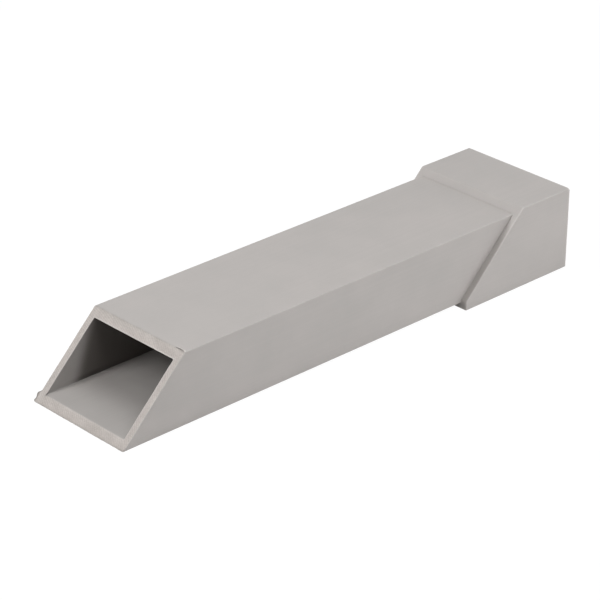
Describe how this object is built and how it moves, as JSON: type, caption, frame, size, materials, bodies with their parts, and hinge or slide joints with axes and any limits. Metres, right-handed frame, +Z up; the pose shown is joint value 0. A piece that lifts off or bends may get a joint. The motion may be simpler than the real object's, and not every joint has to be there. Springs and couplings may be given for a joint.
{
  "type": "scupper extension",
  "caption": "Rectangular plastic drain duct with a mitred outlet and a stepped rectangular socket, for carrying a roof outlet on through a parapet.",
  "frame": {"origin": "centre of the socket's mouth, on the duct's axis", "axes": "+Y along the duct, from the mitred outlet out through the socket's mouth; X across the duct; +Z up"},
  "size_m": [0.113, 0.472, 0.071],
  "materials": {
    "grey_pvc": "satin, extruded"
  },
  "bodies": {
    "root": {"extension": "grey_pvc"}
  },
  "joints": []
}
